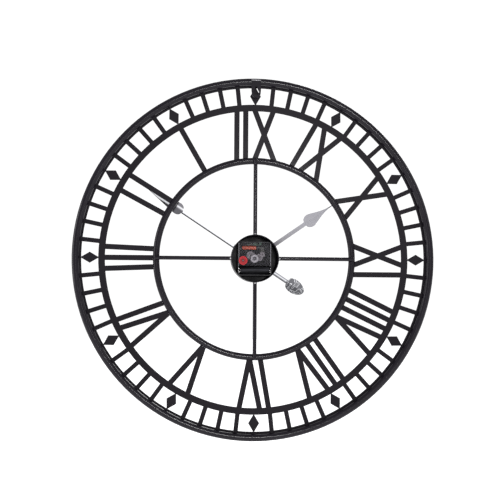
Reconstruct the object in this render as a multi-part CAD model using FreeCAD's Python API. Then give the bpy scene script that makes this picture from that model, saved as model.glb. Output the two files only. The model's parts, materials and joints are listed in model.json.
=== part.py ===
"""Skeleton wall clock, 604 mm across: a welded steel frame with a quartz movement in its hub cup.

Millimetres. The parts are drawn around the dial centre: +Z up, the dial faces -Y and the wall is
on the +Y side, with Y = 0 on the rear face of the dial sheet. On export everything moves so that
the origin is the point of the wall on which the hanger rests.
"""
import FreeCAD, Part
import math
import os

Vector = FreeCAD.Vector

# Frame
OUTER_D = 604.0
OUTER_TUBE_D = 12.0
TUBE_WALL = 1.0
SHEET_T = 1.5
BAND_OUTER_R = 300.0
BAND_INNER_R = 286.7
CHAPTER_OUTER_R = 259.0
CHAPTER_INNER_R = 247.9
INNER_RING_R = 163.8
INNER_TUBE_D = 11.0
BAR_W = 7.5
DIAMOND_W = 18.4
DIAMOND_TIP_W = 2.0
STROKE_W = 8.9
SPOKE_D = 6.6
SPOKE_Y = 8.1
MINUTE_STEP = 6.0
HOUR_STEP = 30.0
QUARTER_TURN = 90.0
SPOKE_BEAD_R = 1.6
HANGER_BEAD_R = 1.35
HANGER_BEADS_X = (-6.6, -4.6, -2.4, -0.4, 1.4, 3.6, 5.4, 6.9)

# Hub cup, wall and hanger
CUP_R = 39.7
CUP_WALL = 1.2
CUP_FRONT_Y = -16.0
CUP_EDGE_R = 3.0
CUP_INNER_EDGE_R = 1.8
WALL_Y = 13.5
HANGER_W = 16.0
HANGER_TOP = 297.0
HANGER_BOTTOM = 268.5
HANGER_HOLE_Z = 277.5
HANGER_HOLE_R = 4.75
HANGER_SLOT_R = 2.0
HANGER_SEAT_Z = 288.0
HANGER_MOUTH_Z = 280.9
HANGER_MOUTH_R = 2.9

# Numerals: where a stroke's centreline lies off the numeral's radius, at two radii
STROKE_LOW_R = 174.0
STROKE_HIGH_R = 243.0
V_APEX_R = 166.3
V_SLOPE = 0.208
X_CENTRE_R = 208.0
X_SLOPE = 13.2 / 34.5

# Movement
CASE_W = 56.0
CASE_FRONT_Y = -13.8
CASE_REAR_Y = 2.2
CASE_WALL = 1.2
COVER_T = 1.2
BAY_TOP_Z = -12.4
PLATE_REAR_Y = -6.9
PLATE_T = 0.7
CASE_CORNER_R = 4.0
COVER_CORNER_R = 3.0
COVER_LIP_Z = 8.0
POST_R = 2.0
BUSHING_R = 4.0
BUSHING_END_Y = -20.0
BUSHING_FLANGE_R = 6.5
BUSHING_FLANGE_T = 0.9
THREAD_DEPTH = 0.3
GROOVE_W = 0.35
GROOVES_Y = (-19.6, -18.85, -18.1, -17.35, -16.6)
RUBBER_R = 10.5
WASHER_R = 8.0
WASHER_T = 0.6
NUT_T = 2.4
NUT_ACROSS = 12.0
FIT = 0.06
THROUGH = 40.0

# Coil and circuit
COIL_X = (-3.2, 21.2)
COIL_Y = -3.4
COIL_Z = 18.4
COIL_CORE_R = 1.8
COIL_FLANGE_R = 3.3
COIL_FLANGE_T = 0.8
WINDING_R = 3.1
STATOR_T = 1.1
STATOR_HALF_W = 2.5
STATOR_BORE_R = 2.75
BOARD_X = (-12.0, 12.0)
BOARD_Z = (22.4, 26.4)
BOARD_T = 0.8
CHIP_R = 1.6
CHIP_T = 0.8
CHIP_AT = (-6.5, 24.3)
CRYSTAL_R = 1.0
CRYSTAL_X = (3.0, 9.0)
CRYSTAL_Z = 24.4
CRYSTAL_LEG_R = 0.15
CRYSTAL_LEG_X = 1.2
CRYSTAL_LEG_OFF = 0.4

# Battery bay
BATTERY_Y = -5.2
BATTERY_Z = -19.6
BATTERY_R = 7.1
BATTERY_X = (-24.4, 23.6)
PIP_R = 2.7
PIP_X = -25.4
CONTACT_X = (26.3, 26.7)
CONTACT_HALF_W = 4.0
DIMPLE_R = 2.2
LEAF_HALF_W = 2.5

# Gears: teeth and the centres they turn on, seen from the front (x, z)
GOING_MODULE = 0.25
ROTOR_TEETH = 8
INTERMEDIATE_TEETH = 48
PINION_TEETH = 8
SECOND_TEETH = 40
SECOND_MODULE = 0.35
THIRD_TEETH = 60
THIRD_DISTANCE = 8.2
CENTRE_TEETH = 64
CANNON_TEETH = 12
MINUTE_TEETH = 36
MINUTE_PINION_TEETH = 10
HOUR_TEETH = 40
SET_TEETH = 30
MINUTE_DISTANCE = 10.3
MINUTE_MODULE = 2.0 * MINUTE_DISTANCE / (CANNON_TEETH + MINUTE_TEETH)
HOUR_MODULE = 2.0 * MINUTE_DISTANCE / (MINUTE_PINION_TEETH + HOUR_TEETH)
KNOB_AT = (19.6, -3.4)
KNOB_R = 7.2
KNOB_SHAFT_R = 1.5
KNOB_PIVOT_R = 0.6
KNOB_NOTCHES = 16
TOOTH_TIP = 0.8
TOOTH_ROOT = 1.15
TOOTH_ROOT_SHARE = 0.26
TOOTH_TIP_SHARE = 0.10
ARBOR_R = 0.55
ARBOR_FRONT_Y = -7.5
PIVOT_R = 0.35
PIVOT_LENGTH = 0.6
SECOND_SHAFT_R = 0.5
MINUTE_PIVOT_R = 0.5
FLYWHEEL_R = 4.4
MAGNET_R = 2.4
MAGNET_Y = (-5.9, -3.4)
SECOND_RIM_R = (5.9, 4.3)

# Hands
HOUR_ANGLE = 304.8
MINUTE_ANGLE = 56.6
HOUR_HAND_Y = -21.6
MINUTE_HAND_Y = -25.6
HAND_T = 0.7
HAND_SLOPE = 0.16
SHAFT_W = 7.0
TAIL_R = 102.0
TAIL_W = 24.0
TAIL_START_R = 69.0
HOUR_CROWN_R = 117.0
HOUR_TIP_R = 166.0
HOUR_CROWN_W = 22.6
HOUR_BACK_R = 7.0
MINUTE_CROWN_R = 154.5
MINUTE_TIP_R = 234.0
MINUTE_CROWN_W = 20.5
HOUR_EYE_R = 7.0
MINUTE_EYE_R = 6.0
COLLET_WALL = 0.7
COLLET_FLANGE_T = 0.5
HOUR_COLLET_R = 5.5
MINUTE_COLLET_R = 4.5
DOME_R = 3.4
DOME_SKIRT = 1.6


# ---------------------------------------------------------------- shapes

def cyl(radius, y0, y1, x=0.0, z=0.0):
    """A round bar along Y between y0 and y1."""
    return Part.makeCylinder(radius, y1 - y0, Vector(x, y0, z), Vector(0, 1, 0))


def pipe(outer, inner, y0, y1, x=0.0, z=0.0):
    """A round tube along Y."""
    return cyl(outer, y0, y1, x, z).cut(cyl(inner, y0 - 1, y1 + 1, x, z))


def box(x0, x1, y0, y1, z0, z1):
    return Part.makeBox(x1 - x0, y1 - y0, z1 - z0, Vector(x0, y0, z0))


def plate(points, y0, y1):
    """A closed outline of (x, z) points, extruded along Y."""
    corners = [Vector(x, y0, z) for x, z in points]
    wire = Part.makePolygon(corners + corners[:1])
    return Part.Face(wire).extrude(Vector(0, y1 - y0, 0))


def torus(ring_r, tube_r, y):
    return Part.makeTorus(ring_r, tube_r, Vector(0, y, 0), Vector(0, 1, 0))


def fuse_all(shapes):
    return shapes[0].multiFuse(shapes[1:]).removeSplitter() if len(shapes) > 1 else shapes[0]


def clockwise(shape, degrees):
    """Turns a shape clockwise about the dial centre, as seen from the front."""
    turned = shape.copy()
    turned.rotate(Vector(0, 0, 0), Vector(0, 1, 0), degrees)
    return turned


def polar(radius, degrees):
    """A point at a clock angle, as seen from the front, as (x, z)."""
    turn = math.radians(degrees)
    return radius * math.sin(turn), radius * math.cos(turn)


def export(shape, node):
    placed = shape.copy()
    placed.translate(Vector(0, -WALL_Y, -HANGER_SEAT_Z))
    placed.exportStep("parts/" + node + ".step")


# ---------------------------------------------------------------- frame

def hollow_ring(ring_r, tube_d, y):
    """A bent tube, closed on itself."""
    return torus(ring_r, tube_d / 2, y).cut(torus(ring_r, tube_d / 2 - TUBE_WALL, y))


def minute_bars():
    """The plain minute marks between chapter ring and band: every minute but the twelve hours."""
    half = BAR_W / 2
    top = math.sqrt(BAND_INNER_R ** 2 - half ** 2)
    bar = box(-half, half, -SHEET_T, 0, CHAPTER_OUTER_R, top)
    return Part.makeCompound([clockwise(bar, MINUTE_STEP * minute) for minute in range(60) if minute % 5])


def hour_diamonds():
    """The twelve hour marks: diamonds whose cut-off tips meet the chapter ring and the band."""
    middle = (CHAPTER_OUTER_R + BAND_INNER_R) / 2
    half = DIAMOND_W / 2
    tip = DIAMOND_TIP_W / 2
    top = math.sqrt(BAND_INNER_R ** 2 - tip ** 2)
    mark = plate([(-tip, CHAPTER_OUTER_R), (tip, CHAPTER_OUTER_R), (half, middle), (tip, top),
                  (-tip, top), (-half, middle)], -SHEET_T, 0)
    return Part.makeCompound([clockwise(mark, HOUR_STEP * hour) for hour in range(12)])


def stroke(low_u, high_u):
    """A flat stroke whose centreline is low_u and high_u off the radius at the two set radii."""
    slope = (high_u - low_u) / (STROKE_HIGH_R - STROKE_LOW_R)
    half = STROKE_W / 2 * math.hypot(1, slope)
    bottom = V_APEX_R - 20
    top = CHAPTER_INNER_R + 20
    outline = [(low_u + slope * (z - STROKE_LOW_R) + side, z)
               for z, side in ((bottom, -half), (top, -half), (top, half), (bottom, half))]
    return plate(outline, -SHEET_T, 0)


def letter_v(centre, lean):
    """Two strokes that meet at the inner ring; centre is at STROKE_HIGH_R."""
    arms = []
    for side in (-1, 1):
        slope = lean + side * V_SLOPE
        apex = centre - lean * (STROKE_HIGH_R - V_APEX_R)
        arms.append(stroke(apex + slope * (STROKE_LOW_R - V_APEX_R),
                           apex + slope * (STROKE_HIGH_R - V_APEX_R)))
    keep = box(-120, 120, -10, 10, V_APEX_R, CHAPTER_INNER_R + 30)
    return arms[0].fuse(arms[1]).common(keep)


def letter_x(centre):
    """Two strokes that cross at X_CENTRE_R."""
    low = X_SLOPE * (X_CENTRE_R - STROKE_LOW_R)
    high = X_SLOPE * (STROKE_HIGH_R - X_CENTRE_R)
    return stroke(centre - low, centre + high).fuse(stroke(centre + low, centre - high))


def numeral_letters(hour):
    """The letters of one numeral, each as its own shape."""
    letters = {
        1: [stroke(0, 0)],
        2: [stroke(-12.5, -14.6), stroke(12.5, 14.6)],
        3: [stroke(-15.2, -18.0), stroke(0, 0), stroke(15.2, 18.0)],
        4: [stroke(-12.2, -24.0), letter_v(7.35, 0)],
        5: [letter_v(0, 0)],
        6: [letter_v(-7.65, 0), stroke(11.7, 23.8)],
        7: [letter_v(-18.0, -0.072), stroke(6.5, 13.4), stroke(22.2, 29.2)],
        8: [letter_v(-22.5, -0.105), stroke(4.8, 9.5), stroke(20.4, 25.3), stroke(36.1, 40.6)],
        9: [stroke(-25.3, -25.3), letter_x(6.5)],
        10: [letter_x(0.3)],
        11: [letter_x(-7.1), stroke(24.8, 24.8)],
        12: [letter_x(-15.0), stroke(16.2, 16.2), stroke(31.0, 31.0)],
    }
    return letters[hour]


def numeral(hour):
    """One numeral, cut to length between the inner ring and the chapter ring."""
    span = pipe(CHAPTER_INNER_R - 0.02, INNER_RING_R + INNER_TUBE_D / 2, -SHEET_T, 0)
    solids = []
    for letter in numeral_letters(hour):
        solids += letter.common(span).removeSplitter().Solids
    return clockwise(Part.makeCompound(solids), HOUR_STEP * hour)


def spoke():
    """A round rod from the hub cup to the rear of the inner ring, with rounded ends."""
    radius = SPOKE_D / 2
    rod = Part.makeCylinder(radius, INNER_RING_R - CUP_R, Vector(0, SPOKE_Y, CUP_R),
                            Vector(0, 0, 1))
    tip = Part.makeSphere(radius, Vector(0, SPOKE_Y, INNER_RING_R))
    rod = rod.fuse(tip).removeSplitter()
    return rod.cut(cyl(CUP_R, CUP_FRONT_Y, WALL_Y))


def hub_cup():
    """A deep drawn cup, open toward the wall, with a hole for the movement's neck."""
    outer = cyl(CUP_R, CUP_FRONT_Y, WALL_Y)
    front = [edge for edge in outer.Edges
             if len(edge.Vertexes) == 1 and abs(edge.Vertexes[0].Point.y - CUP_FRONT_Y) < 0.01]
    outer = outer.makeFillet(CUP_EDGE_R, front)
    inner = cyl(CUP_R - CUP_WALL, CUP_FRONT_Y + CUP_WALL, WALL_Y + 1)
    inner_front = [edge for edge in inner.Edges if len(edge.Vertexes) == 1
                   and abs(edge.Vertexes[0].Point.y - CUP_FRONT_Y - CUP_WALL) < 0.01]
    inner = inner.makeFillet(CUP_INNER_EDGE_R, inner_front)
    return outer.cut(inner).cut(cyl(BUSHING_R + FIT, CUP_FRONT_Y - 1, CUP_FRONT_Y + 3))


def keyhole(y0, y1):
    """A round entry hole under a teardrop that narrows to the nail's seat."""
    hole = cyl(HANGER_HOLE_R, y0, y1, 0, HANGER_HOLE_Z)
    seat = cyl(HANGER_SLOT_R, y0, y1, 0, HANGER_SEAT_Z - HANGER_SLOT_R)
    reach = HANGER_SEAT_Z - HANGER_SLOT_R
    neck = plate([(-HANGER_MOUTH_R, HANGER_MOUTH_Z), (-HANGER_SLOT_R, reach),
                  (HANGER_SLOT_R, reach), (HANGER_MOUTH_R, HANGER_MOUTH_Z)], y0, y1)
    return fuse_all([hole, seat, neck])


def hanger_plate():
    """A stamped keyhole plate, welded on the rear of the outer ring."""
    y0 = OUTER_TUBE_D + 0.02
    radius = HANGER_W / 2 - 0.5
    foot = cyl(radius, y0, WALL_Y, 0, HANGER_BOTTOM + radius)
    shoulder = plate([(-HANGER_W / 2, HANGER_BOTTOM + radius + 4), (-radius, HANGER_BOTTOM + radius),
                      (radius, HANGER_BOTTOM + radius), (HANGER_W / 2, HANGER_BOTTOM + radius + 4)],
                     y0, WALL_Y)
    body = box(-HANGER_W / 2, HANGER_W / 2, y0, WALL_Y, HANGER_BOTTOM + radius + 4, HANGER_TOP)
    return fuse_all([body, shoulder, foot]).cut(keyhole(y0 - 1, WALL_Y + 1))


def weld_beads(hanger):
    """Small weld nubs: where each spoke leaves the cup, and along the hanger's top edge."""
    at_cup = Part.makeSphere(SPOKE_BEAD_R, Vector(0, SPOKE_Y + SPOKE_D / 2 - 0.6, CUP_R + 1.0))
    solids = [clockwise(at_cup, QUARTER_TURN * quarter) for quarter in range(4)]
    row = fuse_all([Part.makeSphere(HANGER_BEAD_R, Vector(x, OUTER_TUBE_D - 0.3, HANGER_TOP + 0.8))
                    for x in HANGER_BEADS_X])
    row = row.cut(hanger).cut(torus((OUTER_D - OUTER_TUBE_D) / 2, OUTER_TUBE_D / 2,
                                    OUTER_TUBE_D / 2))
    return Part.makeCompound(solids + row.Solids)


# ---------------------------------------------------------------- gears

def gear(teeth, module, y0, y1, at, phase=0.0, bore=0.0):
    """A spur gear about Y; phase is the clock angle of one tooth's middle."""
    pitch_r = teeth * module / 2
    tip_r = pitch_r + TOOTH_TIP * module
    root_r = pitch_r - TOOTH_ROOT * module
    root_half = math.degrees(TOOTH_ROOT_SHARE * math.pi * module / root_r)
    tip_half = math.degrees(TOOTH_TIP_SHARE * math.pi * module / tip_r)
    points = []
    for tooth in range(teeth):
        middle = phase + 360.0 * tooth / teeth
        for radius, offset in ((root_r, -root_half), (tip_r, -tip_half),
                               (tip_r, tip_half), (root_r, root_half)):
            x, z = polar(radius, middle + offset)
            points.append((at[0] + x, at[1] + z))
    blank = plate(points, y0, y1)
    return blank.cut(cyl(bore, y0 - 1, y1 + 1, at[0], at[1])) if bore else blank


def mesh_phase(teeth, at, phase, mate_teeth, mate_at):
    """The phase that puts a mating gear's gap where this gear's tooth is."""
    towards = math.degrees(math.atan2(mate_at[0] - at[0], mate_at[1] - at[1]))
    return towards + 180.0 - 180.0 / mate_teeth - (phase - towards) * teeth / mate_teeth


def mesh_distance(teeth, mate_teeth, module):
    return module * (teeth + mate_teeth) / 2


def arbor(at, y0, y1, radius=ARBOR_R, pivot=PIVOT_R, pivot_length=PIVOT_LENGTH):
    """A turned axle with a thin pivot at each end."""
    return fuse_all([cyl(radius, y0 + pivot_length, y1 - pivot_length, at[0], at[1]),
                     cyl(pivot, y0, y1, at[0], at[1])])


def towards(at, distance, degrees):
    x, z = polar(distance, degrees)
    return at[0] + x, at[1] + z


HUB = (0.0, 0.0)
INTERMEDIATE_AT = towards(HUB, mesh_distance(PINION_TEETH, SECOND_TEETH, SECOND_MODULE), -74.0)
ROTOR_AT = towards(INTERMEDIATE_AT,
                   mesh_distance(ROTOR_TEETH, INTERMEDIATE_TEETH, GOING_MODULE), -45.0)
THIRD_AT = towards(HUB, THIRD_DISTANCE, 50.0)
THIRD_MODULE = 2.0 * THIRD_DISTANCE / (PINION_TEETH + THIRD_TEETH)
CENTRE_MODULE = 2.0 * THIRD_DISTANCE / (PINION_TEETH + CENTRE_TEETH)


def minute_wheel_place():
    """The centre that meshes with both the cannon pinion and the set gear."""
    knob_r = math.hypot(*KNOB_AT)
    set_distance = mesh_distance(SET_TEETH, MINUTE_TEETH, MINUTE_MODULE)
    cosine = ((MINUTE_DISTANCE ** 2 + knob_r ** 2 - set_distance ** 2)
              / (2 * MINUTE_DISTANCE * knob_r))
    knob_angle = math.degrees(math.atan2(KNOB_AT[0], KNOB_AT[1]))
    return towards(HUB, MINUTE_DISTANCE, knob_angle - math.degrees(math.acos(cosine)))


MINUTE_AT = minute_wheel_place()
REAR_PIVOT_Y = 0.8
PLATE_FRONT_Y = PLATE_REAR_Y - PLATE_T
FRONT_FLOOR_Y = CASE_FRONT_Y + CASE_WALL

# Depths of the wheels, from the cover towards the dial
SECOND_Y = (-0.5, 0.2)
INTERMEDIATE_PINION_Y = (-0.9, 0.35)
INTERMEDIATE_Y = (-2.6, -1.8)
ROTOR_PINION_Y = (-3.0, -1.5)
SECOND_PINION_Y = (-4.5, -2.9)
THIRD_Y = (-4.1, -3.3)
THIRD_PINION_Y = (-6.5, -4.9)
CENTRE_Y = (-6.2, -5.4)
CANNON_PINION_Y = (-9.5, -7.9)
MINUTE_Y = (-9.2, -8.2)
MINUTE_PINION_Y = (-11.5, -9.2)
HOUR_Y = (-11.2, -10.2)
CANNON_R = 1.5
HOUR_TUBE_R = 2.5

SECOND_PHASE = mesh_phase(PINION_TEETH, INTERMEDIATE_AT, 0.0, SECOND_TEETH, HUB)
ROTOR_PHASE = mesh_phase(INTERMEDIATE_TEETH, INTERMEDIATE_AT, 0.0, ROTOR_TEETH, ROTOR_AT)
THIRD_PHASE = mesh_phase(PINION_TEETH, HUB, 0.0, THIRD_TEETH, THIRD_AT)
CENTRE_PHASE = mesh_phase(PINION_TEETH, THIRD_AT, 0.0, CENTRE_TEETH, HUB)
MINUTE_PHASE = mesh_phase(CANNON_TEETH, HUB, 0.0, MINUTE_TEETH, MINUTE_AT)
SET_PHASE = mesh_phase(MINUTE_TEETH, MINUTE_AT, MINUTE_PHASE, SET_TEETH, KNOB_AT)
HOUR_PHASE = mesh_phase(MINUTE_PINION_TEETH, MINUTE_AT, 0.0, HOUR_TEETH, HUB)


def rotor_magnet():
    return pipe(MAGNET_R, ARBOR_R, *MAGNET_Y, *ROTOR_AT)


def rotor_pinion():
    axle = arbor(ROTOR_AT, ARBOR_FRONT_Y, REAR_PIVOT_Y)
    pinion = gear(ROTOR_TEETH, GOING_MODULE, *ROTOR_PINION_Y, ROTOR_AT, ROTOR_PHASE)
    flywheel = cyl(FLYWHEEL_R, ROTOR_PINION_Y[1] + 0.05, ROTOR_PINION_Y[1] + 0.55, *ROTOR_AT)
    hub = cyl(0.9, ROTOR_PINION_Y[1] - 0.1, ROTOR_PINION_Y[1] + 0.9, *ROTOR_AT)
    return fuse_all([axle, pinion, flywheel, hub])


def intermediate_wheel():
    wheel = gear(INTERMEDIATE_TEETH, GOING_MODULE, *INTERMEDIATE_Y, INTERMEDIATE_AT)
    pinion = gear(PINION_TEETH, SECOND_MODULE, *INTERMEDIATE_PINION_Y, INTERMEDIATE_AT)
    boss = cyl(0.8, INTERMEDIATE_Y[1] - 0.1, INTERMEDIATE_PINION_Y[0] + 0.1, *INTERMEDIATE_AT)
    return fuse_all([wheel, pinion, boss, arbor(INTERMEDIATE_AT, ARBOR_FRONT_Y, REAR_PIVOT_Y)])


def second_wheel():
    wheel = gear(SECOND_TEETH, SECOND_MODULE, *SECOND_Y, HUB, SECOND_PHASE)
    pinion = gear(PINION_TEETH, THIRD_MODULE, *SECOND_PINION_Y, HUB)
    axle = fuse_all([cyl(PIVOT_R, 0.0, REAR_PIVOT_Y), cyl(SECOND_SHAFT_R, -22.0, 0.1)])
    rim = pipe(*SECOND_RIM_R, SECOND_Y[1] - 0.1, SECOND_Y[1] + 0.35)
    return fuse_all([wheel, pinion, axle, rim])


def third_wheel():
    wheel = gear(THIRD_TEETH, THIRD_MODULE, *THIRD_Y, THIRD_AT, THIRD_PHASE)
    pinion = gear(PINION_TEETH, CENTRE_MODULE, *THIRD_PINION_Y, THIRD_AT)
    boss = cyl(0.7, THIRD_PINION_Y[1] - 0.1, THIRD_Y[0] + 0.1, *THIRD_AT)
    return fuse_all([wheel, pinion, boss, arbor(THIRD_AT, ARBOR_FRONT_Y, REAR_PIVOT_Y)])


def centre_wheel():
    """Rides on the cannon pinion's pipe; the real one grips it with a light friction fit."""
    wheel = gear(CENTRE_TEETH, CENTRE_MODULE, *CENTRE_Y, HUB, CENTRE_PHASE)
    boss = cyl(2.6, CENTRE_Y[0] - 0.4, CENTRE_Y[1] + 0.5)
    return fuse_all([wheel, boss]).cut(cyl(CANNON_R + FIT, -8, -4))


def cannon_pinion():
    """The minute pinion on a long pipe that carries the minute hand."""
    pinion = gear(CANNON_TEETH, MINUTE_MODULE, *CANNON_PINION_Y, HUB)
    tube = cyl(CANNON_R, MINUTE_HAND_Y - 2.6, -4.8)
    return fuse_all([pinion, tube]).cut(cyl(SECOND_SHAFT_R + FIT, -THROUGH, -4))


def minute_wheel():
    wheel = gear(MINUTE_TEETH, MINUTE_MODULE, *MINUTE_Y, MINUTE_AT, MINUTE_PHASE)
    pinion = gear(MINUTE_PINION_TEETH, HOUR_MODULE, *MINUTE_PINION_Y, MINUTE_AT)
    axle = arbor(MINUTE_AT, FRONT_FLOOR_Y - 0.6, -7.0, 0.9, MINUTE_PIVOT_R, 0.9)
    return fuse_all([wheel, pinion, axle])


def hour_wheel():
    """The hour wheel on the pipe that carries the hour hand."""
    wheel = gear(HOUR_TEETH, HOUR_MODULE, *HOUR_Y, HUB, HOUR_PHASE)
    tube = cyl(HOUR_TUBE_R, HOUR_HAND_Y - 1.6, HOUR_Y[1])
    return fuse_all([wheel, tube]).cut(cyl(CANNON_R + FIT, -THROUGH, -4))


def set_gear():
    return gear(SET_TEETH, MINUTE_MODULE, *MINUTE_Y, KNOB_AT, SET_PHASE, KNOB_SHAFT_R)


def set_knob():
    """The setting knob: a disc with a grip recess, on a shaft that reaches the set gear."""
    x, z = KNOB_AT
    disc = cyl(KNOB_R, CASE_REAR_Y + 0.5, CASE_REAR_Y + 3.0, x, z)
    disc = disc.cut(pipe(5.6, 2.6, CASE_REAR_Y + 2.2, CASE_REAR_Y + 4, x, z))
    disc = disc.cut(cyl(0.8, CASE_REAR_Y + 1.8, CASE_REAR_Y + 4, x, z))
    for notch in range(KNOB_NOTCHES):
        at = towards(KNOB_AT, KNOB_R + 0.35, notch * 360.0 / KNOB_NOTCHES)
        disc = disc.cut(cyl(0.6, CASE_REAR_Y, CASE_REAR_Y + 4, *at))
    shaft = cyl(KNOB_SHAFT_R, FRONT_FLOOR_Y + 0.3, CASE_REAR_Y + 0.6, x, z)
    pivot = cyl(KNOB_PIVOT_R, FRONT_FLOOR_Y - 0.6, FRONT_FLOOR_Y + 0.4, x, z)
    return fuse_all([disc, shaft, pivot])


# ---------------------------------------------------------------- movement, fixed pieces

def rounded_case(y0, y1, inset=0.0, corner=CASE_CORNER_R):
    half = CASE_W / 2 - inset
    block = box(-half, half, y0, y1, -half, half)
    upright = [edge for edge in block.Edges if abs(edge.tangentAt(0).y) > 0.9]
    return block.makeFillet(max(corner - inset, 0.5), upright)


def movement_base():
    """The black case: open at the back, with a wall between the train and the battery bay."""
    shell = rounded_case(CASE_FRONT_Y, CASE_REAR_Y)
    hollow = rounded_case(FRONT_FLOOR_Y, CASE_REAR_Y + 1, CASE_WALL)
    bay_wall = box(-CASE_W / 2 + 0.6, CASE_W / 2 - 0.6, FRONT_FLOOR_Y - 0.2, CASE_REAR_Y - COVER_T,
                   BAY_TOP_Z, BAY_TOP_Z + 1.0)
    pieces = [shell.cut(hollow), bay_wall]
    for x, z in ((-24.0, 24.0), (24.0, 24.0), (11.5, BAY_TOP_Z + 3.0), (-24.0, BAY_TOP_Z + 3.0)):
        pieces.append(cyl(POST_R, FRONT_FLOOR_Y - 0.2, PLATE_FRONT_Y, x, z))
    base = fuse_all(pieces)
    base = base.cut(cyl(BUSHING_R, CASE_FRONT_Y - 1, FRONT_FLOOR_Y + 1))
    for at, radius in ((MINUTE_AT, MINUTE_PIVOT_R + FIT), (KNOB_AT, KNOB_PIVOT_R + FIT)):
        base = base.cut(cyl(radius, FRONT_FLOOR_Y - 0.8, FRONT_FLOOR_Y + 1, *at))
    return base


def train_plate():
    """The middle plate that carries the wheels' front pivots."""
    half = CASE_W / 2 - CASE_WALL - 0.1
    body = box(-half, half, PLATE_FRONT_Y, PLATE_REAR_Y, BAY_TOP_Z + 1.1, half)
    upright = [edge for edge in body.Edges if abs(edge.tangentAt(0).y) > 0.9
               and edge.Vertexes[0].Point.z > 0]
    body = body.makeFillet(COVER_CORNER_R, upright)
    for at in (ROTOR_AT, INTERMEDIATE_AT, THIRD_AT):
        body = body.cut(cyl(PIVOT_R + FIT, -9, -5, *at))
    body = body.cut(cyl(MINUTE_PIVOT_R + FIT, -9, -5, *MINUTE_AT))
    for at in (HUB, KNOB_AT):
        body = body.cut(cyl(CANNON_R + FIT, -9, -5, *at))
    return body


def movement_cover():
    """The smoky clear cover over the train, with pivot bosses and a hole for the knob's shaft."""
    half = CASE_W / 2 - CASE_WALL - 0.1
    y0 = CASE_REAR_Y - COVER_T
    body = box(-half, half, y0, CASE_REAR_Y, BAY_TOP_Z, half)
    upright = [edge for edge in body.Edges if abs(edge.tangentAt(0).y) > 0.9
               and edge.Vertexes[0].Point.z > 0]
    body = body.makeFillet(COVER_CORNER_R, upright)
    bosses = [cyl(1.1, y0 - 0.45, y0 + 0.1, *at)
              for at in (ROTOR_AT, INTERMEDIATE_AT, HUB, THIRD_AT)]
    well = pipe(8.2, 7.6, CASE_REAR_Y - 0.1, CASE_REAR_Y + 1.4, *KNOB_AT)
    well = well.common(box(-half, half, -20, 20, BAY_TOP_Z, half))
    inside = box(-half, half, y0, WALL_Y, BAY_TOP_Z, half)
    lips = [box(side * half - 0.5, side * half + 0.5, y0, CASE_REAR_Y + 0.5, COVER_LIP_Z,
                half - CASE_CORNER_R).common(inside) for side in (-1, 1)]
    cover = fuse_all([body, well] + lips + bosses)
    for at in (ROTOR_AT, INTERMEDIATE_AT, HUB, THIRD_AT):
        cover = cover.cut(cyl(PIVOT_R + FIT, y0 - 1, REAR_PIVOT_Y + 0.1, *at))
    return cover.cut(cyl(KNOB_SHAFT_R + FIT, 0, 5, *KNOB_AT))


def bar_x(radius, x0, x1, y, z):
    return Part.makeCylinder(radius, x1 - x0, Vector(x0, y, z), Vector(1, 0, 0))


def coil_bobbin():
    core = bar_x(COIL_CORE_R, COIL_X[0], COIL_X[1], COIL_Y, COIL_Z)
    flanges = [bar_x(COIL_FLANGE_R, x, x + COIL_FLANGE_T, COIL_Y, COIL_Z)
               for x in (COIL_X[0], COIL_X[1] - COIL_FLANGE_T)]
    hole = box(COIL_X[0] - 1, COIL_X[1] + 1, COIL_Y - 0.6, COIL_Y + 0.6, COIL_Z - 1, COIL_Z + 1)
    return fuse_all([core] + flanges).cut(hole)


def coil_winding():
    outer = bar_x(WINDING_R, COIL_X[0] + COIL_FLANGE_T, COIL_X[1] - COIL_FLANGE_T, COIL_Y, COIL_Z)
    return outer.cut(bar_x(COIL_CORE_R, COIL_X[0], COIL_X[1], COIL_Y, COIL_Z))


def stator():
    """The soft-iron path: through the coil, down both sides and around the rotor."""
    y0 = COIL_Y - STATOR_T / 2
    y1 = COIL_Y + STATOR_T / 2
    x, z = ROTOR_AT
    core = box(x - STATOR_HALF_W, COIL_X[1] + 3, y0, y1, COIL_Z - 0.9, COIL_Z + 0.9)
    arm = box(x - STATOR_HALF_W, x + STATOR_HALF_W, y0, y1, z, COIL_Z + 0.9)
    yoke = plate([(x - 5.0, z - 2.0), (x - 3.0, z - 4.6), (x + 3.2, z - 4.6), (x + 5.0, z - 2.0),
                  (x + 4.6, z + 5.4), (x - 4.4, z + 5.4)], y0, y1)
    tail = box(COIL_X[1] + 0.4, COIL_X[1] + 3, y0, y1, COIL_Z - 4, COIL_Z + 0.9)
    return fuse_all([core, arm, yoke, tail]).cut(cyl(STATOR_BORE_R, -9, 0, x, z))


def circuit_board():
    return box(*BOARD_X, PLATE_REAR_Y, PLATE_REAR_Y + BOARD_T, *BOARD_Z)


def circuit_chip():
    y0 = PLATE_REAR_Y + BOARD_T
    return cyl(CHIP_R, y0, y0 + CHIP_T, *CHIP_AT)


def quartz_crystal():
    y = PLATE_REAR_Y + BOARD_T + CRYSTAL_R
    can = bar_x(CRYSTAL_R, *CRYSTAL_X, y, CRYSTAL_Z)
    legs = [bar_x(CRYSTAL_LEG_R, CRYSTAL_LEG_X, CRYSTAL_X[0], y, CRYSTAL_Z + side)
            for side in (-CRYSTAL_LEG_OFF, CRYSTAL_LEG_OFF)]
    return fuse_all([can] + legs)


def battery():
    """An AA cell: can, and the small positive pip."""
    can = bar_x(BATTERY_R, *BATTERY_X, BATTERY_Y, BATTERY_Z)
    pip = bar_x(PIP_R, PIP_X, BATTERY_X[0] + 0.1, BATTERY_Y, BATTERY_Z)
    return fuse_all([can, pip])


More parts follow.
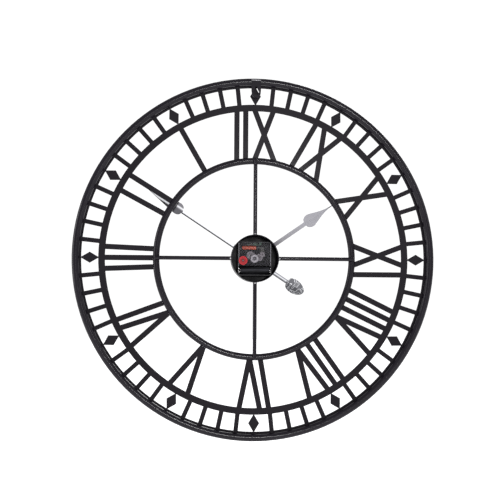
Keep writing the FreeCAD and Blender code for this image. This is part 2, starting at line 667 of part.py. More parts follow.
def contact_leaf(x0, x1):
    """The upright square of spring steel behind either contact."""
    return box(x0, x1, BATTERY_Y - CONTACT_HALF_W, BATTERY_Y + CONTACT_HALF_W,
               BATTERY_Z - CONTACT_HALF_W, BATTERY_Z + CONTACT_HALF_W)


def battery_contact_positive():
    body = contact_leaf(-CONTACT_X[1], -CONTACT_X[0])
    dimple = bar_x(DIMPLE_R, -CONTACT_X[0] - 0.1, PIP_X, BATTERY_Y, BATTERY_Z)
    return fuse_all([body, dimple])


def battery_contact_negative():
    """A bent leaf spring that bears on the cell's flat end."""
    body = contact_leaf(*CONTACT_X)
    profile = [(26.4, BATTERY_Z + 3.8), (23.7, BATTERY_Z + 1.0), (23.7, BATTERY_Z - 1.0),
               (26.4, BATTERY_Z - 3.8), (26.4, BATTERY_Z - 3.3), (24.1, BATTERY_Z - 0.8),
               (24.1, BATTERY_Z + 0.8), (26.4, BATTERY_Z + 3.3)]
    return fuse_all([body, plate(profile, BATTERY_Y - LEAF_HALF_W, BATTERY_Y + LEAF_HALF_W)])


def mounting_bushing():
    """The threaded neck that clamps the movement in the cup; the hour pipe turns inside it."""
    neck = cyl(BUSHING_R, BUSHING_END_Y, FRONT_FLOOR_Y + 0.1)
    flange = cyl(BUSHING_FLANGE_R, FRONT_FLOOR_Y, FRONT_FLOOR_Y + BUSHING_FLANGE_T)
    grooves = [pipe(BUSHING_R + 1, BUSHING_R - THREAD_DEPTH, y, y + GROOVE_W) for y in GROOVES_Y]
    neck = fuse_all([neck, flange]).cut(cyl(HOUR_TUBE_R + FIT, -THROUGH, 0))
    return neck.cut(Part.makeCompound(grooves))


def rubber_washer():
    return pipe(RUBBER_R, BUSHING_R + FIT, CUP_FRONT_Y + CUP_WALL, CASE_FRONT_Y)


def flat_washer():
    return pipe(WASHER_R, BUSHING_R + FIT, CUP_FRONT_Y - WASHER_T, CUP_FRONT_Y)


def hex_nut():
    y1 = CUP_FRONT_Y - WASHER_T
    y0 = y1 - NUT_T
    corners = [polar(NUT_ACROSS / math.sqrt(3), 30.0 + 60.0 * corner) for corner in range(6)]
    body = plate(corners, y0, y1)
    cone = Part.makeCone(NUT_ACROSS / 2 - 0.1, NUT_ACROSS / 2 + 4.0, 4.1, Vector(0, y0, 0),
                         Vector(0, 1, 0))
    return body.common(cone).cut(cyl(BUSHING_R, y0 - 1, y1 + 1))


# ---------------------------------------------------------------- hands

def outline_solid(edges, y):
    """Extrudes a closed outline of edges in the plane Y = 0 far enough to be trimmed."""
    face = Part.Face(Part.Wire(edges))
    solid = face.extrude(Vector(0, 20, 0))
    solid.translate(Vector(0, y - 10, 0))
    return solid


def ridge_sheet(y, low, high):
    """A thin sheet folded along the hand's middle line, its ridge towards the front."""
    reach = 16.0
    fall = HAND_SLOPE * reach
    section = [Vector(-reach, y + fall, low), Vector(0, y, low), Vector(reach, y + fall, low),
               Vector(reach, y + fall - HAND_T, low), Vector(0, y - HAND_T, low),
               Vector(-reach, y + fall - HAND_T, low)]
    return Part.Face(Part.makePolygon(section + section[:1])).extrude(Vector(0, 0, high - low))


def mirrored_outline(half):
    """Edges of an outline from its right half: curves given as lists of (x, z) points."""
    edges = []
    for side in (1, -1):
        for run in half:
            points = [Vector(side * x, 0, z) for x, z in run]
            if len(points) == 2:
                edges.append(Part.LineSegment(points[0], points[1]).toShape())
            else:
                curve = Part.BezierCurve()
                curve.setPoles(points)
                edges.append(curve.toShape())
    return Part.__sortEdges__(edges)


def spade(crown, tip, width, start):
    """Half outline of a hand: shaft from start, round lobes widest at crown, hollow sides, needle."""
    half = SHAFT_W / 2
    wide = width / 2
    back = crown - wide + 0.8
    needle = crown + 0.73 * (tip - crown)
    return [[(0, start), (half, start)],
            [(half, start), (half, back)],
            [(half, back), (wide - 3.8, back), (wide, crown - 6.5), (wide, crown)],
            [(wide, crown), (wide, crown + 5.0), (3.4, needle - 16.0), (1.3, needle)],
            [(1.3, needle), (0.35, tip)],
            [(0.35, tip), (0, tip)]]


def hour_hand():
    half = spade(HOUR_CROWN_R, HOUR_TIP_R, HOUR_CROWN_W, -HOUR_BACK_R)
    outline = outline_solid(mirrored_outline(half), HOUR_HAND_Y)
    blade = outline.common(ridge_sheet(HOUR_HAND_Y, -30, 200))
    eye = cyl(HOUR_EYE_R, HOUR_HAND_Y - HAND_T, HOUR_HAND_Y + 0.35)
    hand = fuse_all([blade, eye]).cut(cyl(HOUR_TUBE_R + COLLET_WALL, -THROUGH, 0))
    return clockwise(hand, HOUR_ANGLE)


def tail_half():
    """Half outline of the minute hand's counterweight, egg shaped with a blunt tip."""
    half = SHAFT_W / 2
    wide = TAIL_W / 2
    return [[(half, 0), (half, -TAIL_START_R)],
            [(half, -TAIL_START_R), (wide - 4.0, 1.0 - TAIL_START_R), (wide, -73.5), (wide, -82.0)],
            [(wide, -82.0), (wide, -90.0), (8.2, -97.0), (4.6, -TAIL_R + 1.9)],
            [(4.6, -TAIL_R + 1.9), (3.2, -TAIL_R + 0.5), (1.6, -TAIL_R), (0, -TAIL_R)]]


def minute_hand():
    blade_half = spade(MINUTE_CROWN_R, MINUTE_TIP_R, MINUTE_CROWN_W, 0.0)[1:]
    outline = outline_solid(mirrored_outline(blade_half + tail_half()), MINUTE_HAND_Y)
    blade = outline.common(ridge_sheet(MINUTE_HAND_Y, -120, 260))
    eye = cyl(MINUTE_EYE_R, MINUTE_HAND_Y - HAND_T, MINUTE_HAND_Y + 0.35)
    hand = fuse_all([blade, eye]).cut(cyl(CANNON_R + COLLET_WALL, -THROUGH, 0))
    return clockwise(hand, MINUTE_ANGLE)


def collet(hand_y, pipe_r, flange_r):
    """The small flanged tube that grips a pipe and holds a hand."""
    tube = pipe(pipe_r + COLLET_WALL, pipe_r, hand_y - HAND_T - 0.1, hand_y + COLLET_WALL)
    flange = pipe(flange_r, pipe_r, hand_y - HAND_T - COLLET_FLANGE_T, hand_y - HAND_T)
    return fuse_all([tube, flange])


def hand_nut():
    """The closed dome nut on the end of the minute pipe."""
    y0 = MINUTE_HAND_Y - HAND_T - COLLET_FLANGE_T
    skirt = cyl(DOME_R, y0 - DOME_SKIRT, y0)
    dome = Part.makeSphere(DOME_R, Vector(0, y0 - DOME_SKIRT, 0))
    body = fuse_all([skirt, dome.common(box(-5, 5, y0 - 6, y0 - DOME_SKIRT, -5, 5))])
    return body.cut(cyl(CANNON_R, y0 - 2.0, y0 + 1))


# ---------------------------------------------------------------- export

ROMAN = ("I", "II", "III", "IV", "V", "VI", "VII", "VIII", "IX", "X", "XI", "XII")


def main():
    os.makedirs("parts", exist_ok=True)
    parts = {
        "outer_ring": hollow_ring((OUTER_D - OUTER_TUBE_D) / 2, OUTER_TUBE_D, OUTER_TUBE_D / 2),
        "outer_band": pipe(BAND_OUTER_R, BAND_INNER_R, -SHEET_T, 0),
        "minute_bars": minute_bars(),
        "hour_diamonds": hour_diamonds(),
        "chapter_ring": pipe(CHAPTER_OUTER_R, CHAPTER_INNER_R, -SHEET_T, 0),
        "inner_ring": hollow_ring(INNER_RING_R, INNER_TUBE_D, -SHEET_T / 2),
        "hub_cup": hub_cup(),
        "hanger_plate": hanger_plate(),
        "weld_beads": weld_beads(hanger_plate()),
        "movement_base": movement_base(),
        "movement_cover": movement_cover(),
        "train_plate": train_plate(),
        "coil_bobbin": coil_bobbin(),
        "coil_winding": coil_winding(),
        "stator": stator(),
        "circuit_board": circuit_board(),
        "circuit_chip": circuit_chip(),
        "quartz_crystal": quartz_crystal(),
        "battery": battery(),
        "battery_contact_positive": battery_contact_positive(),
        "battery_contact_negative": battery_contact_negative(),
        "mounting_bushing": mounting_bushing(),
        "rubber_washer": rubber_washer(),
        "flat_washer": flat_washer(),
        "hex_nut": hex_nut(),
        "rotor_magnet": rotor_magnet(),
        "rotor_pinion": rotor_pinion(),
        "intermediate_wheel": intermediate_wheel(),
        "second_wheel": second_wheel(),
        "third_wheel": third_wheel(),
        "centre_wheel": centre_wheel(),
        "cannon_pinion": cannon_pinion(),
        "minute_wheel": minute_wheel(),
        "hour_wheel": hour_wheel(),
        "set_gear": set_gear(),
        "set_knob": set_knob(),
        "hour_hand": hour_hand(),
        "minute_hand": minute_hand(),
        "hour_hand_collet": collet(HOUR_HAND_Y, HOUR_TUBE_R, HOUR_COLLET_R),
        "minute_hand_collet": collet(MINUTE_HAND_Y, CANNON_R, MINUTE_COLLET_R),
        "hand_nut": hand_nut(),
    }
    for hour, name in enumerate(ROMAN, start=1):
        parts["numeral_" + name] = numeral(hour)
    for quarter, side in enumerate(("top", "right", "bottom", "left")):
        parts["spoke_" + side] = clockwise(spoke(), QUARTER_TURN * quarter)
    for node, shape in parts.items():
        export(shape, node)
        print(node, len(shape.Solids), round(shape.Volume, 1), shape.isValid())


main()
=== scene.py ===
"""Looks of the skeleton wall clock: powder-coated steel, silver hands and the movement's plastics."""
import bpy
import json
import math
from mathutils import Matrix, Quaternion, Vector


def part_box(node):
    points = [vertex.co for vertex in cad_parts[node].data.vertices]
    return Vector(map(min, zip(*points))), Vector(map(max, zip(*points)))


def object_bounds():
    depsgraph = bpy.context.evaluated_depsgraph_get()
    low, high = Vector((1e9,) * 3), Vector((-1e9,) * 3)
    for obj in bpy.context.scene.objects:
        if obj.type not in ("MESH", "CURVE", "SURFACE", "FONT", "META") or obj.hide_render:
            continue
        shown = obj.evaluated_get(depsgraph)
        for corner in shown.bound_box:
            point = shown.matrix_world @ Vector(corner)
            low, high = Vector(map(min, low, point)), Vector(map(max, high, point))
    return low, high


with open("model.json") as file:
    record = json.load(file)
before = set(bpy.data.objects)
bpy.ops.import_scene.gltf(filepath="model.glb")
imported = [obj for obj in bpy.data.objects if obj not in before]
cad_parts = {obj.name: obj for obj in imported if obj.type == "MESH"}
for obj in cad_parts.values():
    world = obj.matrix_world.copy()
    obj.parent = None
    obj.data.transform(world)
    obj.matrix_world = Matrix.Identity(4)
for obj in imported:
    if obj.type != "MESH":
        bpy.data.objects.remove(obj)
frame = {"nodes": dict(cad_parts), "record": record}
CAD_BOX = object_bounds()
NODES = frame["nodes"]
RECORD = frame["record"]

TRACK_LOW, TRACK_HIGH = (Vector(corner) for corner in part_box("chapter_ring"))
DIAL = Vector(((TRACK_LOW.x + TRACK_HIGH.x) / 2, TRACK_HIGH.y, (TRACK_LOW.z + TRACK_HIGH.z) / 2))

# The minute hand, measured from the dial's centre along and across it
MINUTE_HAND_TURN = math.radians(56.6)
SHAFT_HALF_W = 0.0035
LOBE_HALF_W = 0.010
LOBES_START = 0.1435
CROWN_R = 0.154
NEEDLE_START = 0.1625
TIP_R = 0.234
NEEDLE_TAPER = 0.0116
TAIL_START = 0.067
ZONE_BLEND = 0.0005

# Other reaches that shading is measured over
CUP_SHADE_REACH = 0.1
WHEEL_REACH = 0.01
COVER_HALF_W = 0.0268

# Stage: the floor, and each softbox's name, place from the dial's centre, size and power
FLOOR_SIZE = 30.0
FLOOR_DROP = 0.35
SOFTBOXES = (
    ("softbox_behind", (-0.26, 2.3, 0.32), 0.22, 10.0),
    ("softbox_left", (2.4, 0.3, 0.3), 1.2, 22.0),
    ("softbox_right", (-2.2, 0.9, 0.9), 1.0, 5.0),
    ("softbox_front", (-0.9, -2.2, 1.2), 1.0, 24.0),
)

# Camera, from the dial's centre
CAMERA_PLACE = Vector((0.1491, 1.770, -0.0725))
CAMERA_AIM = Vector((0.0078, 0.0, 0.0144))
CAMERA_ROLL = math.radians(0.34)
CAMERA_LENS = 76.7
CAMERA_SENSOR = 36.0


# ---------------------------------------------------------------- material helpers

class Shader:
    """A node material with one Principled shader and a few shortcuts for textures."""

    def __init__(self, name, colour, roughness, metallic=0.0):
        self.material = bpy.data.materials.new(name)
        self.material.use_nodes = True
        self.tree = self.material.node_tree
        self.shader = self.tree.nodes["Principled BSDF"]
        self.set("Base Color", (*colour, 1.0))
        self.set("Roughness", roughness)
        self.set("Metallic", metallic)
        self.coords = self.tree.nodes.new("ShaderNodeTexCoord").outputs["Object"]
        self.height = None

    def set(self, socket, value):
        self.shader.inputs[socket].default_value = value

    def link(self, output, socket):
        self.tree.links.new(output, socket)

    def stretched(self, scale):
        """The part's coordinates scaled along each axis, for grain that runs one way."""
        node = self.tree.nodes.new("ShaderNodeMapping")
        node.inputs["Scale"].default_value = scale
        self.link(self.coords, node.inputs["Vector"])
        return node.outputs["Vector"]

    def noise(self, scale, detail=3.0, vector=None):
        node = self.tree.nodes.new("ShaderNodeTexNoise")
        node.inputs["Scale"].default_value = scale
        node.inputs["Detail"].default_value = detail
        self.link(vector or self.coords, node.inputs["Vector"])
        return node.outputs["Fac"]

    def cells(self, scale):
        node = self.tree.nodes.new("ShaderNodeTexVoronoi")
        node.inputs["Scale"].default_value = scale
        self.link(self.coords, node.inputs["Vector"])
        return node.outputs["Distance"]

    def wave(self, scale, axis, distortion):
        node = self.tree.nodes.new("ShaderNodeTexWave")
        node.bands_direction = axis
        node.inputs["Scale"].default_value = scale
        node.inputs["Distortion"].default_value = distortion
        self.link(self.coords, node.inputs["Vector"])
        return node.outputs["Fac"]

    def ramp(self, value, stops):
        """Maps a 0 to 1 value through (place, colour) stops."""
        node = self.tree.nodes.new("ShaderNodeValToRGB")
        elements = node.color_ramp.elements
        while len(elements) < len(stops):
            elements.new(0.5)
        for element, (place, colour) in zip(elements, stops):
            element.position = place
            element.color = (*colour, 1.0)
        self.link(value, node.inputs["Fac"])
        return node.outputs["Color"]

    def spread(self, value, low, high, from_low=0.3, from_high=0.7):
        """Maps a value from one range to another and clamps it; a noise's own range is 0.3 to 0.7."""
        node = self.tree.nodes.new("ShaderNodeMapRange")
        node.inputs["From Min"].default_value = from_low
        node.inputs["From Max"].default_value = from_high
        node.inputs["To Min"].default_value = low
        node.inputs["To Max"].default_value = high
        self.link(value, node.inputs["Value"])
        return node.outputs["Result"]

    def maths(self, operation, *values):
        """A number worked out from others; each value is an output to link or a plain number."""
        node = self.tree.nodes.new("ShaderNodeMath")
        node.operation = operation
        for socket, value in zip(node.inputs, values):
            if isinstance(value, float):
                socket.default_value = value
            else:
                self.link(value, socket)
        return node.outputs["Value"]

    def vector_maths(self, operation, vector, other=(0, 0, 0), output="Vector"):
        node = self.tree.nodes.new("ShaderNodeVectorMath")
        node.operation = operation
        node.inputs[1].default_value = other
        self.link(vector, node.inputs[0])
        return node.outputs[output]

    def reach(self, centre, scale, squash=(1, 0, 1)):
        """Distance from a point in the part's frame, as 0 at the point and 1 at the scale."""
        offset = self.vector_maths("SUBTRACT", self.coords, centre)
        flat = self.vector_maths("MULTIPLY", offset, [part / scale for part in squash])
        return self.vector_maths("LENGTH", flat, output="Value")

    def mix(self, amount, first, second):
        node = self.tree.nodes.new("ShaderNodeMixRGB")
        for socket, output in zip(node.inputs, (amount, first, second)):
            self.link(output, socket)
        return node.outputs["Color"]

    def colour(self, value, stops):
        self.link(self.ramp(value, stops), self.shader.inputs["Base Color"])

    def roughness(self, value, low, high):
        self.link(self.spread(value, low, high), self.shader.inputs["Roughness"])

    def bump(self, value, strength, distance):
        """Adds relief; later calls lie on top of earlier ones."""
        node = self.tree.nodes.new("ShaderNodeBump")
        node.inputs["Strength"].default_value = strength
        node.inputs["Distance"].default_value = distance
        self.link(value, node.inputs["Height"])
        if self.height is not None:
            self.link(self.height, node.inputs["Normal"])
        self.height = node.outputs["Normal"]
        self.link(self.height, self.shader.inputs["Normal"])


# ---------------------------------------------------------------- materials

def satin_powder(name, thin, thick, coat, coat_roughness):
    """Satin black powder coat: fine orange peel, a glossy skin and uneven gloss."""
    m = Shader(name, thin, 0.30)
    m.colour(m.noise(14.0, 4.0), [(0.3, thin), (0.7, thick)])
    m.set("Specular IOR Level", 0.06)
    m.set("Coat Weight", coat)
    m.set("Coat Roughness", coat_roughness)
    m.roughness(m.noise(55.0, 3.0), 0.28, 0.38)
    m.bump(m.noise(700.0, 2.0), 0.004, 0.00003)
    return m.material


def powder_coat():
    thin, thick = (0.005, 0.0035, 0.0065), (0.008, 0.006, 0.010)
    return satin_powder("black_powder_coat", thin, thick, 0.26, 0.1)


def sheet_coat_painted_light():
    """The same powder on the flat laser-cut pieces, which it leaves duller; its colour is painted
    lighter than the tubes' coat, for the light their flat faces catch.
    """
    # painted light: these colours are lighter than the tubes' coat of the same powder
    thin, thick = (0.0095, 0.008, 0.0105), (0.012, 0.010, 0.0132)
    return satin_powder("black_sheet_coat", thin, thick, 0.04, 0.12)


def cup_coat_painted_shade():
    """The same paint inside the cup, dull, and darkened as painted shade for the cup's hollow."""
    m = Shader("cup_coat_painted_shade", (0.004, 0.003, 0.005), 0.5)
    # painted shade: near-black colours stand in for the shadowed hollow of the cup
    m.colour(m.noise(30.0, 3.0), [(0.3, (0.003, 0.0025, 0.004)), (0.7, (0.006, 0.005, 0.008))])
    m.set("Specular IOR Level", 0.14)
    m.roughness(m.noise(70.0), 0.36, 0.5)
    m.bump(m.noise(900.0, 2.0), 0.1, 0.00004)
    return m.material


def soft_iron():
    """The stator's annealed iron, dull grey."""
    m = Shader("soft_iron", (0.12, 0.12, 0.12), 0.5, 0.8)
    m.colour(m.noise(300.0), [(0.3, (0.09, 0.09, 0.09)), (0.7, (0.15, 0.145, 0.14))])
    m.bump(m.noise(1200.0), 0.1, 0.00004)
    return m.material


def weld_gloss_painted_glints():
    """The thicker, shinier coat that pools on a weld bead, painted light grey with paler patches as
    painted glints.
    """
    m = Shader("weld_gloss_painted_glints", (0.25, 0.24, 0.25), 0.16)
    # painted glints: grey to pale patches stand in for highlights on the black bead
    m.colour(m.noise(500.0), [(0.35, (0.10, 0.095, 0.10)), (0.6, (0.55, 0.54, 0.56))])
    m.bump(m.noise(900.0, 2.0), 0.3, 0.0002)
    return m.material


def black_plastic():
    m = Shader("black_plastic", (0.010, 0.009, 0.012), 0.42)
    m.colour(m.noise(60.0), [(0.35, (0.008, 0.0075, 0.010)), (0.7, (0.014, 0.013, 0.017))])
    m.set("Specular IOR Level", 0.3)
    m.roughness(m.noise(140.0), 0.34, 0.5)
    m.bump(m.cells(3200.0), 0.12, 0.00004)
    return m.material


def smoky_clear():
    """Smoke tinted clear moulding whose side lips carry a painted highlight: a pale colour, and more
    opaque.
    """
    m = Shader("smoky_clear", (0.03, 0.028, 0.034), 0.06)
    m.set("IOR", 1.5)
    m.set("Specular IOR Level", 0.16)
    side = m.reach((0, 0, 0), COVER_HALF_W, (1, 0, 0))
    # painted highlight: the side lips get a pale colour and are less see-through
    m.colour(side, [(0.965, (0.02, 0.018, 0.024)), (0.975, (0.30, 0.29, 0.32))])
    m.link(m.spread(side, 0.22, 0.7, 0.965, 0.975), m.shader.inputs["Alpha"])
    m.roughness(m.noise(90.0), 0.04, 0.10)
    m.bump(m.noise(160.0, 2.0), 0.02, 0.0002)
    return m.material


def copper_coil():
    """Fine enamelled wire wound side by side."""
    m = Shader("copper_coil", (0.80, 0.20, 0.10), 0.3)
    m.colour(m.noise(420.0, 3.0), [(0.3, (0.66, 0.09, 0.045)), (0.7, (0.90, 0.20, 0.11))])
    m.set("Coat Weight", 0.4)
    m.set("Coat Roughness", 0.15)
    m.bump(m.wave(620.0, "X", 0.6), 0.5, 0.0001)
    return m.material


def bright_steel():
    m = Shader("bright_steel", (0.34, 0.33, 0.33), 0.32, 1.0)
    grain = m.noise(500.0, 4.0, m.stretched((1, 14, 14)))
    m.colour(grain, [(0.3, (0.27, 0.26, 0.26)), (0.7, (0.40, 0.39, 0.39))])
    m.roughness(grain, 0.2, 0.38)
    m.bump(grain, 0.08, 0.00005)
    return m.material


def circuit_green():
    """Solder mask over faint copper tracks."""
    m = Shader("circuit_green", (0.02, 0.09, 0.045), 0.35)
    m.colour(m.wave(90.0, "Z", 2.5), [(0.45, (0.012, 0.06, 0.03)), (0.55, (0.03, 0.13, 0.06))])
    m.roughness(m.noise(400.0), 0.25, 0.4)
    m.bump(m.wave(90.0, "Z", 2.5), 0.3, 0.00005)
    return m.material


def battery_wrap():
    """Plain shrink wrap, drawn into faint creases along the cell."""
    m = Shader("battery_wrap", (0.008, 0.008, 0.009), 0.5)
    creases = m.noise(300.0, 2.0, m.stretched((0.05, 1, 1)))
    m.colour(creases, [(0.48, (0.005, 0.005, 0.006)), (0.62, (0.030, 0.030, 0.036))])
    m.set("Specular IOR Level", 0.1)
    m.roughness(creases, 0.4, 0.55)
    m.bump(creases, 0.15, 0.0002)
    return m.material


def brass():
    m = Shader("brass", (0.72, 0.52, 0.25), 0.25, 1.0)
    grain = m.noise(700.0, 3.0)
    m.colour(grain, [(0.3, (0.60, 0.42, 0.19)), (0.7, (0.80, 0.60, 0.31))])
    m.roughness(grain, 0.18, 0.34)
    m.bump(grain, 0.06, 0.00005)
    return m.material


def black_rubber():
    m = Shader("black_rubber", (0.018, 0.018, 0.018), 0.75)
    m.colour(m.noise(300.0), [(0.3, (0.013, 0.013, 0.013)), (0.7, (0.027, 0.027, 0.027))])
    m.bump(m.noise(1800.0, 3.0), 0.35, 0.0001)
    return m.material


def dark_magnet():
    m = Shader("dark_magnet", (0.10, 0.10, 0.11), 0.45, 0.7)
    m.colour(m.noise(900.0), [(0.3, (0.07, 0.07, 0.08)), (0.7, (0.15, 0.15, 0.16))])
    m.bump(m.noise(2400.0), 0.3, 0.00005)
    return m.material


def milky_plastic(name, stops, centre):
    """Moulded gear plastic, with painted light and shade in rings by the distance from a wheel's own
    axis.
    """
    m = Shader(name, (0.4, 0.37, 0.42), 0.38)
    # painted light and shade: the stops are bands of light and dark on one plastic
    m.colour(m.reach(centre, WHEEL_REACH), stops)
    m.roughness(m.noise(420.0), 0.3, 0.45)
    m.bump(m.noise(2200.0), 0.10, 0.00004)
    return m.material


def centre_of(node):
    """The middle of a CAD node's box."""
    low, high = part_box(node)
    return [(a + b) / 2 for a, b in zip(low, high)]


def white_plastic():
    """Gears about the clock's own axis, in painted light and shade: a pale rim around a ribbed middle
    darkened as painted shade.
    """
    # painted light and shade: dark, ring and pale are bands of shade and light on one plastic
    dark, ring, pale = (0.10, 0.09, 0.11), (0.70, 0.66, 0.72), (0.36, 0.33, 0.38)
    stops = [(0.08, (0.30, 0.28, 0.32)), (0.13, dark), (0.28, dark), (0.40, ring), (0.59, ring),
             (0.63, pale)]
    return milky_plastic("white_plastic", stops, DIAL)


def side_gear(node):
    """A train wheel off the axis: a pivot darkened as painted shade in a milky web, slightly pinker
    at the rim.
    """
    # painted shade: the dark first stop stands for the shadowed pivot
    stops = [(0.06, (0.06, 0.05, 0.06)), (0.14, (0.36, 0.31, 0.35)), (0.40, (0.27, 0.24, 0.27)),
             (0.62, (0.33, 0.29, 0.33))]
    return milky_plastic(node + "_plastic", stops, centre_of(node))


def red_plastic():
    """Red knob in painted light and shade: a bright outer ring, a recess darkened as painted shade
    and a dark centre of painted shade with a light pip.
    """
    m = Shader("red_plastic", (0.38, 0.008, 0.014), 0.4)
    rings = m.reach(centre_of("set_knob"), WHEEL_REACH)
    # painted light and shade: rings of brighter and darker red on one plastic
    m.colour(rings, [(0.05, (0.55, 0.40, 0.40)), (0.09, (0.03, 0.002, 0.003)),
                     (0.20, (0.05, 0.003, 0.004)), (0.27, (0.36, 0.007, 0.012)),
                     (0.44, (0.27, 0.006, 0.010)), (0.60, (0.44, 0.010, 0.018))])
    m.set("Specular IOR Level", 0.2)
    m.roughness(m.noise(380.0), 0.34, 0.46)
    m.bump(m.noise(1900.0), 0.08, 0.00005)
    return m.material


def satin_silver():
    """Fine satin grain, darker in the cup's shade near the hub."""
    m = Shader("satin_silver", (0.27, 0.265, 0.285), 0.40, 1.0)
    near_hub = m.reach(DIAL, CUP_SHADE_REACH)
    m.colour(near_hub, [(0.38, (0.11, 0.105, 0.115)), (0.62, (0.23, 0.225, 0.24)),
                        (1.0, (0.27, 0.265, 0.285))])
    m.roughness(m.noise(160.0), 0.36, 0.44)
    m.bump(m.noise(900.0, 4.0), 0.02, 0.00003)
    return m.material


def along(m, turn):
    """Distances in metres along and across a hand that lies at a clock angle."""
    outputs = []
    for angle in (turn, turn - math.pi / 2):
        direction = Vector((math.sin(angle), 0, math.cos(angle)))
        distance = m.vector_maths("DOT_PRODUCT", m.coords, direction, "Value")
        outputs.append(m.maths("SUBTRACT", distance, DIAL.dot(direction)))
    return outputs


def needle_painted_reflection(m, length, width, bright, dark):
    """Painted reflection: bright metal between dark painted edge lines that close in from the crown
    to the tip.
    """
    towards_tip = m.spread(length, 0.0, 1.0, CROWN_R, TIP_R)
    edge = m.maths("MULTIPLY_ADD", towards_tip, NEEDLE_TAPER, m.maths("ABSOLUTE", width))
    return m.ramp(m.spread(edge, 0.0, 1.0, 0.0, LOBE_HALF_W), [(0.88, bright), (0.94, dark)])


def bright_silver():
    """The minute hand's plating, with reflections painted into its colour: from behind, shaft,
    blade, lobes, needle and crumpled tail as bands of painted light and dark, and in front
    plain metal painted lighter on one side of a fold down the middle."""
    m = Shader("bright_silver", (0.92, 0.92, 0.94), 0.12, 1.0)
    length, width = along(m, MINUTE_HAND_TURN)
    across_shaft = m.spread(width, 0.0, 1.0, -SHAFT_HALF_W, SHAFT_HALF_W)
    across_lobes = m.spread(width, 0.0, 1.0, -LOBE_HALF_W, LOBE_HALF_W)
    # painted reflections: white, glint, grey and dark stand in for what the plating mirrors
    white, glint, grey = (0.95, 0.95, 0.97), (0.75, 0.75, 0.77), (0.17, 0.165, 0.18)
    dark = (0.03, 0.03, 0.035)
    blade = m.ramp(across_shaft, [(0.24, dark), (0.30, white)])
    lobes = m.ramp(across_lobes, [(0.3, grey), (0.55, grey), (0.66, glint), (0.78, grey)])
    needle = needle_painted_reflection(m, length, width, white, dark)
    colour = m.ramp(across_shaft, [(0.05, (0.10, 0.10, 0.11)), (0.3, (0.30, 0.30, 0.32)),
                                   (0.55, glint), (0.75, (0.26, 0.26, 0.28))])
    for zone, start in ((blade, 0.0), (lobes, LOBES_START), (needle, NEEDLE_START)):
        inside = m.spread(length, 0.0, 1.0, start - ZONE_BLEND, start + ZONE_BLEND)
        colour = m.mix(inside, colour, zone)
    # painted glints: thin white lines across the crumpled tail
    tail_painted_glints = m.ramp(m.noise(130.0, 1.0), [(0.50, (0.12, 0.12, 0.13)), (0.525, white),
                                           (0.55, (0.16, 0.16, 0.17))])
    in_tail = m.spread(length, 1.0, 0.0, -TAIL_START - 2 * ZONE_BLEND, -TAIL_START)
    colour = m.mix(in_tail, colour, tail_painted_glints)
    # painted light and shade: the front's two halves either side of the fold are painted lighter and
    # darker
    fold_painted_shading = m.ramp(across_lobes, [(0.495, (0.34, 0.34, 0.355)), (0.505, (0.62, 0.62, 0.64))])
    normal = m.tree.nodes.new("ShaderNodeNewGeometry").outputs["Normal"]
    facing = m.tree.nodes.new("ShaderNodeSeparateXYZ")
    m.link(normal, facing.inputs["Vector"])
    colour = m.mix(m.spread(facing.outputs["Y"], 0.0, 1.0, 0.0, 0.1), fold_painted_shading, colour)
    m.link(colour, m.shader.inputs["Base Color"])
    m.roughness(m.noise(120.0), 0.08, 0.15)
    m.bump(m.noise(45.0, 2.0), 0.04, 0.0006)
    return m.material


SHEET_NODES = ("outer_band", "minute_bars", "hour_diamonds", "chapter_ring")
SIDE_WHEELS = ("intermediate_wheel", "third_wheel", "rotor_pinion", "minute_wheel")
FINISHES = {
    "black_powder_coat": powder_coat,
    "black_plastic": black_plastic,
    "smoky_clear": smoky_clear,
    "copper_coil": copper_coil,
    "bright_steel": bright_steel,
    "circuit_green": circuit_green,
    "battery_wrap": battery_wrap,
    "brass": brass,
    "black_rubber": black_rubber,
    "dark_magnet": dark_magnet,
    "white_plastic": white_plastic,
    "red_plastic": red_plastic,
    "satin_silver": satin_silver,
    "bright_silver": bright_silver,
}


def paint(node, finish):
    for slot in NODES[node].material_slots:
        slot.material = finish


def dress_cad_nodes():
    """Gives every CAD node the finish of its record slot, then the few that differ their own."""
    finishes = {name: build() for name, build in FINISHES.items()}
    for entry in RECORD["subparts"]:
        paint(entry["node"], finishes[entry["material_slot"]])
    paint("weld_beads", weld_gloss_painted_glints())
    paint("hub_cup", cup_coat_painted_shade())
    paint("stator", soft_iron())
    for node in SIDE_WHEELS:
        paint(node, side_gear(node))
    sheet = sheet_coat_painted_light()
    for node in NODES:
        if node.startswith("numeral_") or node in SHEET_NODES:
            paint(node, sheet)


# ---------------------------------------------------------------- stage, light and camera

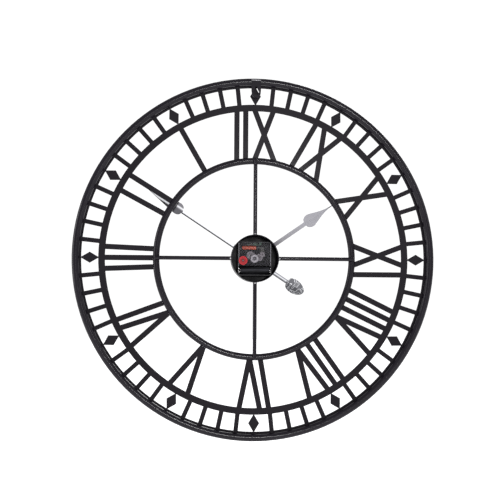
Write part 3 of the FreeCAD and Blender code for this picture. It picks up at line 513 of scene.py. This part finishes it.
def add_floor():
    """A pale matt floor below the hanging clock."""
    bpy.ops.mesh.primitive_plane_add(size=FLOOR_SIZE, location=(0, 0, CAD_BOX[0][2] - FLOOR_DROP))
    floor = bpy.context.object
    floor.name = "floor"
    m = Shader("pale_floor", (0.86, 0.86, 0.86), 0.9)
    m.colour(m.noise(2.0), [(0.3, (0.85, 0.85, 0.85)), (0.7, (0.88, 0.88, 0.88))])
    m.set("Emission Color", (1, 1, 1, 1))
    m.set("Emission Strength", 0.75)
    floor.data.materials.append(m.material)


def add_world():
    """White where the camera looks past the clock, softer where it lights the clock."""
    world = bpy.data.worlds.new("studio")
    world.use_nodes = True
    tree = world.node_tree
    backdrop = tree.nodes["Background"]
    backdrop.inputs["Color"].default_value = (1, 1, 1, 1)
    backdrop.inputs["Strength"].default_value = 1.1
    room = tree.nodes.new("ShaderNodeBackground")
    room.inputs["Color"].default_value = (0.97, 0.98, 1.0, 1)
    room.inputs["Strength"].default_value = 0.8
    path = tree.nodes.new("ShaderNodeLightPath")
    mix = tree.nodes.new("ShaderNodeMixShader")
    tree.links.new(path.outputs["Is Camera Ray"], mix.inputs["Fac"])
    tree.links.new(room.outputs["Background"], mix.inputs[1])
    tree.links.new(backdrop.outputs["Background"], mix.inputs[2])
    tree.links.new(mix.outputs["Shader"], tree.nodes["World Output"].inputs["Surface"])
    bpy.context.scene.world = world


def add_softbox(name, place, size, power):
    """A square softbox at a place measured from the dial's centre, facing it."""
    light = bpy.data.lights.new(name, "AREA")
    light.size = size
    light.energy = power
    lamp = bpy.data.objects.new(name, light)
    lamp.location = DIAL + Vector(place)
    lamp.rotation_euler = (-Vector(place)).to_track_quat("-Z", "Y").to_euler()
    bpy.context.collection.objects.link(lamp)


def add_camera():
    """Behind the clock, a little to one side and below its centre."""
    camera = bpy.data.cameras.new("camera")
    camera.lens = CAMERA_LENS
    camera.sensor_width = CAMERA_SENSOR
    eye = bpy.data.objects.new("camera", camera)
    eye.location = DIAL + CAMERA_PLACE
    look = (CAMERA_AIM - CAMERA_PLACE).to_track_quat("-Z", "Y")
    eye.rotation_mode = "QUATERNION"
    eye.rotation_quaternion = look @ Quaternion((0, 0, 1), CAMERA_ROLL)
    bpy.context.collection.objects.link(eye)
    bpy.context.scene.camera = eye


def light_scene():
    add_floor()
    add_world()
    for softbox in SOFTBOXES:
        add_softbox(*softbox)
    bpy.context.scene.view_settings.view_transform = "Standard"


dress_cad_nodes()
light_scene()
add_camera()
